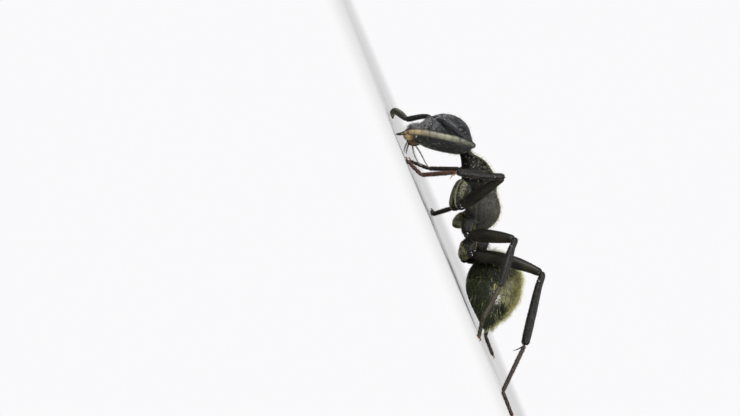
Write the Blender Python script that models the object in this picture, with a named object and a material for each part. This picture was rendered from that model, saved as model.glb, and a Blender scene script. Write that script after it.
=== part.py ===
"""A golden-haired carpenter ant worker, standing, as closed solids.

Units in this file are millimetres until a mesh is made, and metres in the meshes. The ant faces -Y with
+Z up and its left side at +X. Positions are given in the ant's own frame: x from its midline, y back from
the tip of its left fore foot, z up from the floor. FOOTPRINT_CENTRE brings the middle of its footprint to
the origin.
"""

from math import acos, cos, pi, radians, sin, sqrt

import bmesh
import bpy
from mathutils import Vector

# ---- driving dimensions, in millimetres ----
METRES = 0.001
FOOTPRINT_CENTRE = Vector((-1.20, 4.40, 0.0))
GAP = 0.04  # the thin cut between two pieces that meet
LIMB_RADIUS = 0.25  # half the least thickness of a leg or feeler
KNEE_DROP = 0.09  # how much lower the thick knees sit, so that their tops are as high as thin ones
THIGH_SWELLS = (0.01, 0.035, 0.01, 0.0)  # how much thicker the femurs are, from trochanter to knee
FOOT_BEND = 0.55  # where the foot starts to curve down to the floor, as a share of its first segment
DOME_ANGLES = (65, 33)  # degrees, the rings of a limb's rounded end

HEAD_LENGTH = 2.84
HEAD_MOUTH = Vector((0.0, -1.11, 0.46))
HEAD_PITCH = 55.1  # degrees from the mouth up and back to the crown
BODY_LENGTH = 3.68
BODY_FRONT = Vector((0.0, 0.43, 2.38))
BODY_PITCH = -14.0
GASTER_LENGTH = 3.37
GASTER_FRONT = Vector((0.0, 4.53, 1.62))
GASTER_PITCH = -24.7
PETIOLE_LENGTH = 0.78
PETIOLE_FRONT = Vector((0.0, 3.86, 1.44))
PETIOLE_PITCH = 2.0

# (along, top, bottom, half width), all from the piece's own axis; the ends are closed by a pole
HEAD_OUTLINE = (
    (0.00, 0.00, -0.18, 0.00),
    (0.12, 0.24, -0.30, 0.42),
    (0.32, 0.35, -0.38, 0.58),
    (0.52, 0.39, -0.41, 0.68),
    (0.64, 0.60, -0.42, 0.74),
    (0.90, 0.78, -0.46, 0.86),
    (1.30, 0.98, -0.50, 1.02),
    (1.70, 1.01, -0.50, 1.14),
    (2.10, 0.91, -0.48, 1.18),
    (2.45, 0.64, -0.40, 1.02),
    (2.70, 0.28, -0.26, 0.70),
    (HEAD_LENGTH, -0.04, -0.04, 0.0),
)
BODY_OUTLINE = (
    (0.00, 0.05, -0.09, 0.0),
    (0.06, 0.18, -0.20, 0.19),
    (0.22, 0.24, -0.24, 0.25),
    (0.33, 0.35, -0.23, 0.31),
    (0.60, 0.67, -0.23, 0.54),
    (1.00, 0.90, -0.28, 0.74),
    (1.37, 1.00, -0.32, 0.79),
    (1.70, 1.02, -0.33, 0.70),
    (1.99, 0.97, -0.34, 0.58),
    (2.26, 1.02, -0.35, 0.53),
    (2.61, 1.03, -0.36, 0.52),
    (2.92, 0.92, -0.36, 0.49),
    (3.14, 0.73, -0.36, 0.46),
    (3.32, 0.44, -0.35, 0.42),
    (3.47, 0.13, -0.31, 0.34),
    (BODY_LENGTH, -0.10, -0.10, 0.0),
)
GASTER_OUTLINE = (
    (0.00, 0.00, -0.10, 0.0),
    (0.20, 0.76, -0.36, 0.58),
    (0.50, 1.22, -0.52, 0.90),
    (0.85, 1.42, -0.72, 1.10),
    (1.25, 1.47, -0.84, 1.21),
    (1.75, 1.43, -0.83, 1.22),
    (2.25, 1.27, -0.66, 1.10),
    (2.70, 0.96, -0.45, 0.86),
    (3.10, 0.55, -0.24, 0.52),
    (GASTER_LENGTH, 0.06, 0.06, 0.0),
)
PETIOLE_OUTLINE = (
    (0.00, 0.05, -0.09, 0.0),
    (0.10, 0.15, -0.18, 0.20),
    (0.24, 0.29, -0.24, 0.33),
    (0.38, 0.36, -0.27, 0.36),
    (0.52, 0.28, -0.25, 0.33),
    (0.66, 0.13, -0.19, 0.21),
    (PETIOLE_LENGTH, 0.03, -0.09, 0.0),
)
BODY_CUTS = {"pronotum": (0.0, 1.43), "mesothorax": (1.43, 2.01), "propodeum": (2.01, BODY_LENGTH)}
GASTER_CUTS = (0.0, 1.18, 2.02, 2.68, GASTER_LENGTH)

EYE_PLACE = (1.02, 2.16, 0.40)  # out, along, up, on the head
EYE_RADII = (0.16, 0.27, 0.21)
MANDIBLE_PATH = ((0.52, 0.50, -0.13), (0.50, 0.24, -0.15), (0.38, 0.06, -0.19), (0.17, 0.00, -0.24))
MANDIBLE_RADII = (0.12, 0.20, 0.19, 0.09)
# the feelers' shafts from socket to elbow, and their lashes from elbow to tip
FEELERS = {
    "left": {
        "scape": ((0.38, -1.10, 1.74), (1.15, -0.82, 2.02), (2.20, 0.55, 2.76)),
        "lash": ((2.14, 0.34, 2.56), (2.06, 0.06, 2.27), (1.90, -0.38, 1.66), (1.66, -0.80, 1.02),
                 (1.42, -1.00, 0.60), (1.26, -1.06, 0.33), (1.08, -1.14, 0.26)),
    },
    "right": {
        "scape": ((-0.38, -1.10, 1.74), (-1.15, -1.36, 1.42), (-2.65, -1.57, 0.63)),
        "lash": ((-2.85, -1.74, 0.56), (-3.20, -1.94, 0.47), (-3.75, -2.08, 0.36), (-4.30, -2.06, 0.29),
                 (-4.85, -1.88, 0.27)),
    },
}

LEG_LENGTHS = {  # femur, tibia, first tarsal segment, rest of the tarsus
    "fore": (2.35, 1.92, 1.35, 1.00),
    "mid": (2.30, 2.15, 1.45, 1.05),
    "hind": (3.05, 3.05, 2.02, 1.15),
}
FEMUR_BOW = {"fore": 0.0, "mid": 0.05, "hind": 0.20}  # how far its middle stands above its ends' line
COXA_RADII = {"fore": (0.27, 0.33, 0.27), "mid": (0.25, 0.28, 0.25), "hind": (0.25, 0.28, 0.25)}
# hip and trochanter as points, then knee, ankle, ball and toe in side view, and which way each of
# the four segments leans: 1 outwards, -1 inwards
LEGS = {
    ("fore", "left"): {
        "hip": (0.38, 1.66, 1.98), "trochanter": (0.72, 2.55, 1.24),
        "side": ((2.09, 3.33), (1.19, 1.71), (0.76, 0.50), (0.02, 0.18)), "lean": (1, 1, -1, -1),
    },
    ("mid", "left"): {
        "hip": (0.34, 3.06, 1.50), "trochanter": (0.84, 3.62, 1.08),
        "side": ((4.51, 2.80), (5.99, 1.57), (6.88, 0.56), (7.42, 0.18)), "lean": (1, 1, 1, 1),
    },
    ("hind", "left"): {
        "hip": (0.30, 3.84, 1.16), "trochanter": (0.82, 4.36, 0.92),
        "side": ((6.18, 3.27), (8.50, 1.57), (9.80, 0.20), (10.78, 0.18)), "lean": (1, 1, 1, 1),
    },
    ("fore", "right"): {
        "hip": (-0.38, 1.62, 1.90), "trochanter": (-0.70, 2.50, 0.98),
        "side": ((2.00, 3.00), (1.13, 1.85), (0.62, 0.78), (0.05, 0.18)), "lean": (1, 1, 1, 1),
    },
    ("mid", "right"): {
        "hip": (-0.34, 2.98, 1.42), "trochanter": (-0.74, 3.12, 0.78),
        "side": ((2.75, 2.48), (2.48, 0.90), (2.42, 0.20), (2.30, 0.18)), "lean": (1, 1, 1, 1),
    },
    ("hind", "right"): {
        "hip": (-0.30, 3.92, 1.10), "trochanter": (-0.80, 4.50, 0.56),
        "side": ((5.60, 2.70), (6.75, 0.95), (7.95, 0.22), (8.82, 0.18)), "lean": (1, 1, 1, 1),
    },
}

COLOURS = {  # base colour, roughness
    "cuticle": ((0.020, 0.019, 0.021), 0.38),
    "eye": ((0.012, 0.011, 0.012), 0.15),
    "mandible": ((0.10, 0.045, 0.018), 0.35),
    "feeler": ((0.070, 0.045, 0.028), 0.50),
    "tarsus": ((0.085, 0.032, 0.020), 0.42),
    "golden_coat": ((0.075, 0.065, 0.030), 0.60),
}


# ---- shape tools ----
def smooth(knots, values, at):
    """A Catmull-Rom curve through the values at the knots, read at one place."""
    last = len(knots) - 1
    i = max(j for j in range(last) if knots[j] <= at or j == 0)
    span = knots[i + 1] - knots[i]
    u = (at - knots[i]) / span

    def slope(j):
        a, b = max(j - 1, 0), min(j + 1, last)
        return (values[b] - values[a]) / (knots[b] - knots[a]) * span

    return (
        (2 * u**3 - 3 * u**2 + 1) * values[i]
        + (u**3 - 2 * u**2 + u) * slope(i)
        + (3 * u**2 - 2 * u**3) * values[i + 1]
        + (u**3 - u**2) * slope(i + 1)
    )


def axes(pitch):
    """The directions along and up of a piece whose axis rises by pitch degrees towards the back."""
    a = radians(pitch)
    return Vector((0, cos(a), sin(a))), Vector((0, -sin(a), cos(a)))


def on_head(out, along, up):
    """A point given on the head's own axes, in the ant's frame."""
    back, rise = axes(HEAD_PITCH)
    return HEAD_MOUTH + back * along + rise * up + Vector((out, 0, 0))


def link(name, bm, material):
    """An object in metres, about the footprint's centre, from a bmesh in millimetres."""
    bmesh.ops.translate(bm, verts=bm.verts, vec=-FOOTPRINT_CENTRE)
    bmesh.ops.scale(bm, verts=bm.verts, vec=(METRES,) * 3)
    bmesh.ops.recalc_face_normals(bm, faces=bm.faces)
    mesh = bpy.data.meshes.new(name)
    bm.to_mesh(mesh)
    bm.free()
    mesh.materials.append(material)
    mesh.shade_smooth()
    mesh.set_sharp_from_angle(angle=radians(40))
    obj = bpy.data.objects.new(name, mesh)
    bpy.context.scene.collection.objects.link(obj)
    return obj


def skin_rings(bm, rings, tip_in, tip_out):
    """Faces between successive rings of points, and fans to a pole at each end."""
    made = [[bm.verts.new(p) for p in ring] for ring in rings]
    count = len(made[0])
    for a, b in zip(made, made[1:]):
        for i in range(count):
            j = (i + 1) % count
            bm.faces.new((a[i], a[j], b[j], b[i]))
    for ring, tip in ((made[0], tip_in), (made[-1], tip_out)):
        pole = bm.verts.new(tip)
        for i in range(count):
            bm.faces.new((ring[i], ring[(i + 1) % count], pole))


def loft(outline, front, pitch, around=20, steps=13, squareness=2.3, waist=0.45, grow=0.0):
    """A closed body along an axis, from its outline in side view and its half widths."""
    length = outline[-1][0]
    knots = [acos(1 - 2 * min(1.0, s[0] / length)) / pi for s in outline]
    back, rise = axes(pitch)
    rings = []
    for k in range(1, steps):
        at = k / steps
        along = length * (1 - cos(pi * at)) / 2
        top, bottom, half = (smooth(knots, [s[c] for s in outline], at) for c in (1, 2, 3))
        mid = bottom + waist * (top - bottom)
        ring = []
        for i in range(around):
            a = 2 * pi * i / around
            ca, sa = cos(a), sin(a)
            x = (half + grow) * abs(ca) ** (2 / squareness) * (1 if ca > 0 else -1)
            reach = (top - mid if sa > 0 else mid - bottom) + grow
            z = reach * abs(sa) ** (2 / squareness) * (1 if sa > 0 else -1)
            ring.append(front + back * along + rise * (mid + z) + Vector((x, 0, 0)))
        rings.append(ring)
    bm = bmesh.new()
    first, last = (front + back * s[0] + rise * (s[1] + s[2]) / 2 for s in (outline[0], outline[-1]))
    skin_rings(bm, rings, first - back * grow, last + back * grow)
    return bm


def tube(points, radii, sides=10, steps=1, grow=0.0):
    """A round tube through the points, of the radii given there, with domed ends."""
    points = [Vector(p) for p in points]
    knots = [0.0]
    for a, b in zip(points, points[1:]):
        knots.append(knots[-1] + (b - a).length)
    places = [
        a + (b - a) * k / steps for a, b in zip(knots, knots[1:]) for k in range(steps)
    ] + [knots[-1]]
    path = [Vector(smooth(knots, [p[c] for p in points], s) for c in range(3)) for s in places]
    width = [smooth(knots, list(radii), s) + grow for s in places]
    ways = [(path[min(i + 1, len(path) - 1)] - path[max(i - 1, 0)]).normalized() for i in range(len(path))]
    side = ways[0].orthogonal().normalized()
    rings = []
    for i, (p, r, way) in enumerate(zip(path, width, ways)):
        side = (side - way * side.dot(way)).normalized()
        other = way.cross(side)

        def circle(centre, radius):
            return [centre + (side * cos(2 * pi * k / sides) + other * sin(2 * pi * k / sides)) * radius
                    for k in range(sides)]

        if i == 0:
            rings += [circle(p - way * r * sin(radians(d)), r * cos(radians(d))) for d in DOME_ANGLES]
        rings.append(circle(p, r))
        if i == len(path) - 1:
            rings += [circle(p + way * r * sin(radians(d)), r * cos(radians(d))) for d in DOME_ANGLES[::-1]]
    bm = bmesh.new()
    skin_rings(bm, rings, path[0] - ways[0] * width[0], path[-1] + ways[-1] * width[-1])
    return bm


def keep_side(bm, point, normal):
    """Cuts the solid by a plane, keeps what the normal points away from and closes the cut."""
    geometry = bm.verts[:] + bm.edges[:] + bm.faces[:]
    cut = bmesh.ops.bisect_plane(
        bm, geom=geometry, dist=1e-5, plane_co=Vector(point), plane_no=Vector(normal), clear_outer=True
    )
    edges = [e for e in cut["geom_cut"] if isinstance(e, bmesh.types.BMEdge) and e.is_boundary]
    if edges:
        bmesh.ops.holes_fill(bm, edges=edges, sides=0)
    return bm


def mitre(bm, before, joint, after, side):
    """Cuts a limb segment at the plane that halves its joint's angle, leaving half the gap there."""
    normal = ((joint - before).normalized() + (after - joint).normalized()).normalized() * side
    return keep_side(bm, joint - normal * GAP / 2, normal)


def carve(target, cutter, name):
    """Cuts a cutter's shape out of a piece."""
    tool = link(name, cutter, target.data.materials[0])
    tool.hide_render = True
    tool.display_type = "WIRE"
    cut = target.modifiers.new(name, "BOOLEAN")
    cut.operation = "DIFFERENCE"
    cut.solver = "EXACT"
    cut.object = tool


def material(name):
    """The plain stand-in material for one kind of surface."""
    colour, roughness = COLOURS[name]
    made = bpy.data.materials.new(name)
    made.use_nodes = True
    shader = made.node_tree.nodes["Principled BSDF"]
    shader.inputs["Base Color"].default_value = (*colour, 1.0)
    shader.inputs["Roughness"].default_value = roughness
    shader.inputs["Metallic"].default_value = 0.0
    return made


# ---- the pieces ----
def sideways(start, place, length, lean):
    """The point at a side view place (y, z) that is length away from start, leaning out or in."""
    flat = Vector((place[0] - start.y, place[1] - start.z)).length
    outward = 1 if start.x > 0 else -1
    return Vector((start.x + outward * lean * sqrt(max(length**2 - flat**2, 0.0)), *place))


def leg_joints(pair, side):
    """Hip, trochanter, knee, ankle, ball of the foot and toe of one leg, in the ant's frame."""
    leg = LEGS[pair, side]
    joints = [Vector(leg["hip"]), Vector(leg["trochanter"])]
    for place, length, lean in zip(leg["side"], LEG_LENGTHS[pair], leg["lean"]):
        joints.append(sideways(joints[-1], place, length, lean))
    joints[2].z -= KNEE_DROP
    return joints


def coxa(pair, side, grow=0.0):
    """The leg's first piece, as a spindle from the hip to the trochanter."""
    hip, trochanter = leg_joints(pair, side)[:2]
    return tube((hip, (hip + trochanter) / 2, trochanter), COXA_RADII[pair], steps=2, grow=grow)


def make_leg(pair, side, materials):
    """Coxa, femur, tibia and tarsus of one leg, parted by thin cuts at its joints."""
    name = f"leg_{pair}_{side}_"
    hip, trochanter, knee, ankle, ball, toe = leg_joints(pair, side)
    r = LIMB_RADIUS
    link(name + "coxa", mitre(coxa(pair, side), hip, trochanter, knee, 1), materials["golden_coat"])
    bow = Vector((0, 0, FEMUR_BOW[pair]))
    thigh = [trochanter.lerp(knee, u) + bow * sin(pi * u) for u in (0, 0.3, 0.7, 1)]
    femur = tube(thigh, [r + swell for swell in THIGH_SWELLS])
    mitre(femur, hip, trochanter, knee, -1)
    mitre(femur, trochanter, knee, ankle, 1)
    link(name + "femur", femur, materials["cuticle"])
    tibia = tube([knee, knee.lerp(ankle, 0.5), ankle], (r, r, r))
    mitre(tibia, trochanter, knee, ankle, -1)
    mitre(tibia, knee, ankle, ball, 1)
    link(name + "tibia", tibia, materials["cuticle"])
    rest = Vector((ball.x, ball.y, max(ball.z, toe.z)))
    bend = ankle.lerp(rest, FOOT_BEND)
    foot = tube([ankle, bend, rest.lerp(toe, 0.12), rest.lerp(toe, 0.6), toe], (r, r, r, r, r - 0.03), 10, 2)
    mitre(foot, knee, ankle, bend, -1)
    keep_side(foot, (0, 0, 0), (0, 0, -1))
    link(name + "tarsus", foot, materials["tarsus"])


def make_feeler(side, materials, head):
    """Scape and flagellum of one antenna, parted at the elbow."""
    shaft, lash = ([Vector(p) for p in FEELERS[side][part]] for part in ("scape", "lash"))
    r = LIMB_RADIUS
    scape = mitre(tube(shaft, [r] * 3, steps=3), shaft[1], shaft[2], lash[0], 1)
    link(f"antenna_{side}_scape", scape, materials["cuticle"])
    flagellum = tube([shaft[2], *lash], [r] * len(lash) + [r - 0.05], sides=8, steps=2)
    mitre(flagellum, shaft[1], shaft[2], lash[0], -1)
    link(f"antenna_{side}_flagellum", flagellum, materials["feeler"])
    carve(head, tube(shaft, [r] * 3, steps=3, grow=GAP), f"cut_scape_{side}")


def eye(out, grow=0.0):
    """One compound eye, as an ellipsoid sunk in the side of the head."""
    back, rise = axes(HEAD_PITCH)
    centre = on_head(out * EYE_PLACE[0], *EYE_PLACE[1:])
    bm = bmesh.new()
    bmesh.ops.create_uvsphere(bm, u_segments=14, v_segments=8, radius=1.0)
    across, along, up = (r + grow for r in EYE_RADII)
    for v in bm.verts:
        v.co = centre + Vector((v.co.x * across, 0, 0)) + back * v.co.y * along + rise * v.co.z * up
    return bm


def mandible(out, grow=0.0):
    """One jaw, curving from the cheek to the middle under the front of the head."""
    path = [on_head(out * x, along, up) for x, along, up in MANDIBLE_PATH]
    return tube(path, MANDIBLE_RADII, steps=2, grow=grow)


def head_solid(grow=0.0):
    """The head's capsule, widest behind the middle, with a flat throat."""
    return loft(HEAD_OUTLINE, HEAD_MOUTH, HEAD_PITCH, 24, 18, squareness=2.35, waist=0.42, grow=grow)


def make_head(materials):
    head = link("head", head_solid(), materials["cuticle"])
    for side, out in (("left", 1), ("right", -1)):
        link(f"eye_{side}", eye(out), materials["eye"])
        carve(head, eye(out, GAP), f"cut_eye_{side}")
        link(f"mandible_{side}", mandible(out), materials["mandible"])
        carve(head, mandible(out, GAP), f"cut_mandible_{side}")
        make_feeler(side, materials, head)


def petiole_solid(grow=0.0):
    """The waist: one upright scale on a short stalk."""
    return loft(PETIOLE_OUTLINE, PETIOLE_FRONT, PETIOLE_PITCH, 14, 9, squareness=2.2, grow=grow)


def slice_of(bm, front, pitch, start, end, length):
    """The stretch of a lofted body between two places along its axis, with half the gap off each cut."""
    back = axes(pitch)[0]
    if start > 0:
        keep_side(bm, front + back * (start + GAP / 2), -back)
    if end < length:
        keep_side(bm, front + back * (end - GAP / 2), back)
    return bm


def make_body(materials):
    """The three pieces of the middle body, with sockets for the head, the legs and the waist."""
    for name, (start, end) in BODY_CUTS.items():
        whole = loft(BODY_OUTLINE, BODY_FRONT, BODY_PITCH, 20, 16, squareness=2.4)
        slice_of(whole, BODY_FRONT, BODY_PITCH, start, end, BODY_LENGTH)
        piece = link(name, whole, materials["cuticle"])
        if name == "pronotum":
            carve(piece, head_solid(GAP), "cut_head")
        if name == "propodeum":
            carve(piece, petiole_solid(GAP), "cut_waist_front")
        for pair, side in LEGS:
            carve(piece, coxa(pair, side, GAP), f"cut_{name}_{pair}_{side}")


def make_gaster(materials):
    """The four ringed pieces of the hind body, and the waist that carries it."""
    link("petiole", petiole_solid(), materials["cuticle"])
    for i, (start, end) in enumerate(zip(GASTER_CUTS, GASTER_CUTS[1:]), 1):
        whole = loft(GASTER_OUTLINE, GASTER_FRONT, GASTER_PITCH, 24, 18, squareness=2.05)
        slice_of(whole, GASTER_FRONT, GASTER_PITCH, start, end, GASTER_LENGTH)
        piece = link(f"gaster_{i}", whole, materials["golden_coat"])
        if i == 1:
            carve(piece, petiole_solid(GAP), "cut_waist_back")


def main():
    for obj in list(bpy.data.objects):
        bpy.data.objects.remove(obj)
    materials = {name: material(name) for name in COLOURS}
    make_head(materials)
    make_body(materials)
    make_gaster(materials)
    for pair, side in LEGS:
        make_leg(pair, side, materials)


main()
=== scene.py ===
"""The looks of the golden-haired carpenter ant: its shell plates, eyes, mouthparts, claws and coat of hair.

Shapes are worked out in millimetres in the ant's own frame (x from its midline, y back from the tip of its
left fore foot, z up from the floor), as in the model's source, and become metres when a mesh is made.
"""

from math import cos, pi, radians, sin, sqrt
from types import SimpleNamespace

import bmesh
import bpy
import numpy as np
from mathutils import Matrix, Vector
from mathutils.kdtree import KDTree


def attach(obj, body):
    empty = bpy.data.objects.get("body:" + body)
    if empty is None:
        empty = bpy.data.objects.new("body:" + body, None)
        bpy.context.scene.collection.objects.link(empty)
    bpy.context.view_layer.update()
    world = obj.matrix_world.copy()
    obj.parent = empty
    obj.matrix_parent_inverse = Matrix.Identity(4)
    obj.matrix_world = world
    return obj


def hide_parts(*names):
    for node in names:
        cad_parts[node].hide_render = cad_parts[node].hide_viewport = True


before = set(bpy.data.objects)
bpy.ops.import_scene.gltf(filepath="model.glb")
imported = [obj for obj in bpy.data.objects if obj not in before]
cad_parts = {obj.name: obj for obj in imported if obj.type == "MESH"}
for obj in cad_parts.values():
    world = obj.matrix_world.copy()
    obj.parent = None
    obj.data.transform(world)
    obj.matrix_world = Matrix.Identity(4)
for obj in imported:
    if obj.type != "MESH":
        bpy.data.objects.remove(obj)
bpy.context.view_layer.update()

# ---- driving dimensions, in millimetres, shared with the solids ----
MM = 0.001
FOOTPRINT_CENTRE = np.array((-1.20, 4.40, 0.0))

HEAD_LENGTH = 2.84
HEAD_MOUTH = (0.0, -1.11, 0.46)
HEAD_PITCH = 55.1
BODY_LENGTH = 3.68
BODY_FRONT = (0.0, 0.43, 2.38)
BODY_PITCH = -14.0
GASTER_LENGTH = 3.37
GASTER_FRONT = (0.0, 4.53, 1.62)
GASTER_PITCH = -24.7
PETIOLE_LENGTH = 0.78
PETIOLE_FRONT = (0.0, 3.86, 1.44)
PETIOLE_PITCH = 2.0

HEAD_OUTLINE = (  # along, top, bottom, half width
    (0.00, 0.00, -0.18, 0.00),
    (0.12, 0.24, -0.30, 0.42),
    (0.32, 0.35, -0.38, 0.58),
    (0.52, 0.39, -0.41, 0.68),
    (0.64, 0.60, -0.42, 0.74),
    (0.90, 0.78, -0.46, 0.86),
    (1.30, 0.98, -0.50, 1.02),
    (1.70, 1.01, -0.50, 1.14),
    (2.10, 0.91, -0.48, 1.18),
    (2.45, 0.64, -0.40, 1.02),
    (2.70, 0.28, -0.26, 0.70),
    (HEAD_LENGTH, -0.04, -0.04, 0.0),
)
BODY_OUTLINE = (
    (0.00, 0.05, -0.09, 0.0),
    (0.06, 0.18, -0.20, 0.19),
    (0.22, 0.24, -0.24, 0.25),
    (0.33, 0.35, -0.23, 0.31),
    (0.60, 0.67, -0.23, 0.54),
    (1.00, 0.90, -0.28, 0.74),
    (1.37, 1.00, -0.32, 0.79),
    (1.70, 1.02, -0.33, 0.70),
    (1.99, 0.97, -0.34, 0.58),
    (2.26, 1.02, -0.35, 0.53),
    (2.61, 1.03, -0.36, 0.52),
    (2.92, 0.92, -0.36, 0.49),
    (3.14, 0.73, -0.36, 0.46),
    (3.32, 0.44, -0.35, 0.42),
    (3.47, 0.13, -0.31, 0.34),
    (BODY_LENGTH, -0.10, -0.10, 0.0),
)
GASTER_OUTLINE = (
    (0.00, 0.00, -0.10, 0.0),
    (0.20, 0.76, -0.36, 0.58),
    (0.50, 1.22, -0.52, 0.90),
    (0.85, 1.42, -0.72, 1.10),
    (1.25, 1.47, -0.84, 1.21),
    (1.75, 1.43, -0.83, 1.22),
    (2.25, 1.27, -0.66, 1.10),
    (2.70, 0.96, -0.45, 0.86),
    (3.10, 0.55, -0.24, 0.52),
    (GASTER_LENGTH, 0.06, 0.06, 0.0),
)
PETIOLE_OUTLINE = (
    (0.00, 0.05, -0.09, 0.0),
    (0.10, 0.15, -0.18, 0.20),
    (0.24, 0.29, -0.24, 0.33),
    (0.38, 0.36, -0.27, 0.36),
    (0.52, 0.28, -0.25, 0.33),
    (0.66, 0.13, -0.19, 0.21),
    (PETIOLE_LENGTH, 0.03, -0.09, 0.0),
)
GASTER_COAT = 0.085  # depth of the hair on the hind body
GASTER_TIP_COAT = 0.20
GASTER_CUTS = (0.0, 1.16, 1.96, 2.58, GASTER_LENGTH - GASTER_TIP_COAT)  # the plates' ends, under the coat

EYE_PLACE = (1.02, 2.16, 0.40)  # out, along, up, on the head
EYE_RADII = (0.15, 0.26, 0.20)

FEELERS = {
    "left": {
        "scape": ((0.38, -1.10, 1.74), (1.15, -0.82, 2.02), (2.20, 0.55, 2.76)),
        "lash": ((2.14, 0.34, 2.56), (2.06, 0.06, 2.27), (1.90, -0.38, 1.66), (1.66, -0.80, 1.02),
                 (1.42, -1.00, 0.58), (1.24, -1.06, 0.26), (1.00, -1.12, 0.08)),
    },
    "right": {
        "scape": ((-0.38, -1.10, 1.74), (-1.15, -1.36, 1.42), (-2.65, -1.57, 0.63)),
        "lash": ((-2.85, -1.74, 0.54), (-3.20, -1.94, 0.43), (-3.75, -2.08, 0.30), (-4.30, -2.06, 0.17),
                 (-4.85, -1.88, 0.08)),
    },
}
LEG_LENGTHS = {  # femur, tibia, first tarsal segment, rest of the tarsus
    "fore": (2.35, 1.92, 1.35, 1.00),
    "mid": (2.30, 2.15, 1.45, 1.05),
    "hind": (3.05, 3.05, 2.02, 1.15),
}
FEMUR_BOW = {"fore": 0.0, "mid": 0.05, "hind": 0.20}
LEGS = {
    ("fore", "left"): {
        "hip": (0.38, 1.66, 1.98), "trochanter": (0.72, 2.55, 1.24),
        "side": ((2.09, 3.33), (1.19, 1.71), (0.76, 0.50), (0.02, 0.18)), "lean": (1, 1, -1, -1),
    },
    ("mid", "left"): {
        "hip": (0.34, 3.06, 1.50), "trochanter": (0.84, 3.62, 1.08),
        "side": ((4.51, 2.80), (5.99, 1.57), (6.88, 0.56), (7.42, 0.18)), "lean": (1, 1, 1, 1),
    },
    ("hind", "left"): {
        "hip": (0.30, 3.84, 1.16), "trochanter": (0.82, 4.36, 0.92),
        "side": ((6.18, 3.27), (8.50, 1.57), (9.80, 0.20), (10.78, 0.18)), "lean": (1, 1, 1, 1),
    },
    ("fore", "right"): {
        "hip": (-0.38, 1.62, 1.90), "trochanter": (-0.70, 2.50, 0.98),
        "side": ((2.00, 3.00), (1.13, 1.85), (0.62, 0.78), (0.05, 0.18)), "lean": (1, 1, 1, 1),
    },
    ("mid", "right"): {
        "hip": (-0.34, 2.98, 1.42), "trochanter": (-0.74, 3.12, 0.78),
        "side": ((2.75, 2.48), (2.48, 0.90), (2.42, 0.20), (2.30, 0.18)), "lean": (1, 1, 1, 1),
    },
    ("hind", "right"): {
        "hip": (-0.30, 3.92, 1.10), "trochanter": (-0.80, 4.50, 0.56),
        "side": ((5.60, 2.70), (6.75, 0.95), (7.95, 0.22), (8.82, 0.18)), "lean": (1, 1, 1, 1),
    },
}

# ---- the real thickness of legs and feelers ----
COXA_RADII = {
    "fore": (0.26, 0.32, 0.29, 0.17),
    "mid": (0.24, 0.27, 0.24, 0.15),
    "hind": (0.24, 0.27, 0.24, 0.15),
}
FEMUR_RADII = {
    "fore": (0.18, 0.265, 0.275, 0.250, 0.215, 0.180, 0.160),
    "mid": (0.19, 0.27, 0.285, 0.275, 0.25, 0.205, 0.15),
    "hind": (0.18, 0.25, 0.27, 0.262, 0.235, 0.19, 0.155),
}
TIBIA_RADII = {
    "fore": (0.125, 0.13, 0.15, 0.17, 0.17, 0.15, 0.125),
    "mid": (0.125, 0.13, 0.155, 0.17, 0.165, 0.135, 0.10),
    "hind": (0.13, 0.14, 0.157, 0.168, 0.175, 0.175, 0.155),
}
TARSUS_RADIUS = {"fore": 0.088, "mid": 0.095, "hind": 0.085}
TARSOMERES = (0.36, 0.25, 0.16, 0.23)  # shares of the last four segments
SPUR_WAY = {"fore": (0.0, 0.42, -0.9), "mid": (0.0, 0.15, -1.0), "hind": (0.0, 0.05, -1.0)}
SPUR_LENGTH = {"fore": 0.42, "mid": 0.40, "hind": 0.55}
FOOT_RADIUS = 0.075
COXA_HAIRS = {"fore": 1000, "mid": 500, "hind": 550}


# ---- numbers ----
def unit(v):
    """Rows of v at length 1."""
    return v / np.maximum(np.linalg.norm(v, axis=-1, keepdims=True), 1e-12)


def step_up(x, low, high):
    """0 below low, 1 above high and a smooth rise between."""
    t = np.clip((x - low) / (high - low), 0, 1)
    return t * t * (3 - 2 * t)


def hump(x, centre, width):
    """A smooth bump of height 1 about a centre."""
    return np.exp(-(((x - centre) / width) ** 2))


def curve(knots, values, at):
    """A Catmull-Rom curve through the values at the knots, read at many places."""
    knots, values, at = (np.asarray(v, float) for v in (knots, values, at))
    slopes = np.empty_like(values)
    slopes[1:-1] = (values[2:] - values[:-2]) / (knots[2:] - knots[:-2])
    slopes[0] = (values[1] - values[0]) / (knots[1] - knots[0])
    slopes[-1] = (values[-1] - values[-2]) / (knots[-1] - knots[-2])
    i = np.clip(np.searchsorted(knots, at, "right") - 1, 0, len(knots) - 2)
    span = knots[i + 1] - knots[i]
    u = (at - knots[i]) / span
    return (
        (2 * u**3 - 3 * u**2 + 1) * values[i]
        + (u**3 - 2 * u**2 + u) * slopes[i] * span
        + (3 * u**2 - 2 * u**3) * values[i + 1]
        + (u**3 - u**2) * slopes[i + 1] * span
    )


def ripple(points, size, seed):
    """A smooth pseudo-random field from about -1 to 1 with features of about the given size."""
    rng = np.random.default_rng(seed)
    waves = rng.normal(size=(6, 3)) / size
    phases = rng.uniform(0, 2 * pi, 6)
    return np.mean(np.sin(points @ waves.T + phases), axis=-1) * 1.6


# ---- surfaces ----
OUT = np.array((1, 0, 0))
PATCH_STEP = 2e-3  # half the span over which a surface's directions are measured
RELIEF_STEP = 1e-3
LIMB_SAMPLES = 160  # of the path, at even steps
CAP_LENGTH = 0.9  # of a limb's rounded end, in radii
THINNEST = 0.6  # of a body's depth that its coat leaves to the skin


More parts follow.
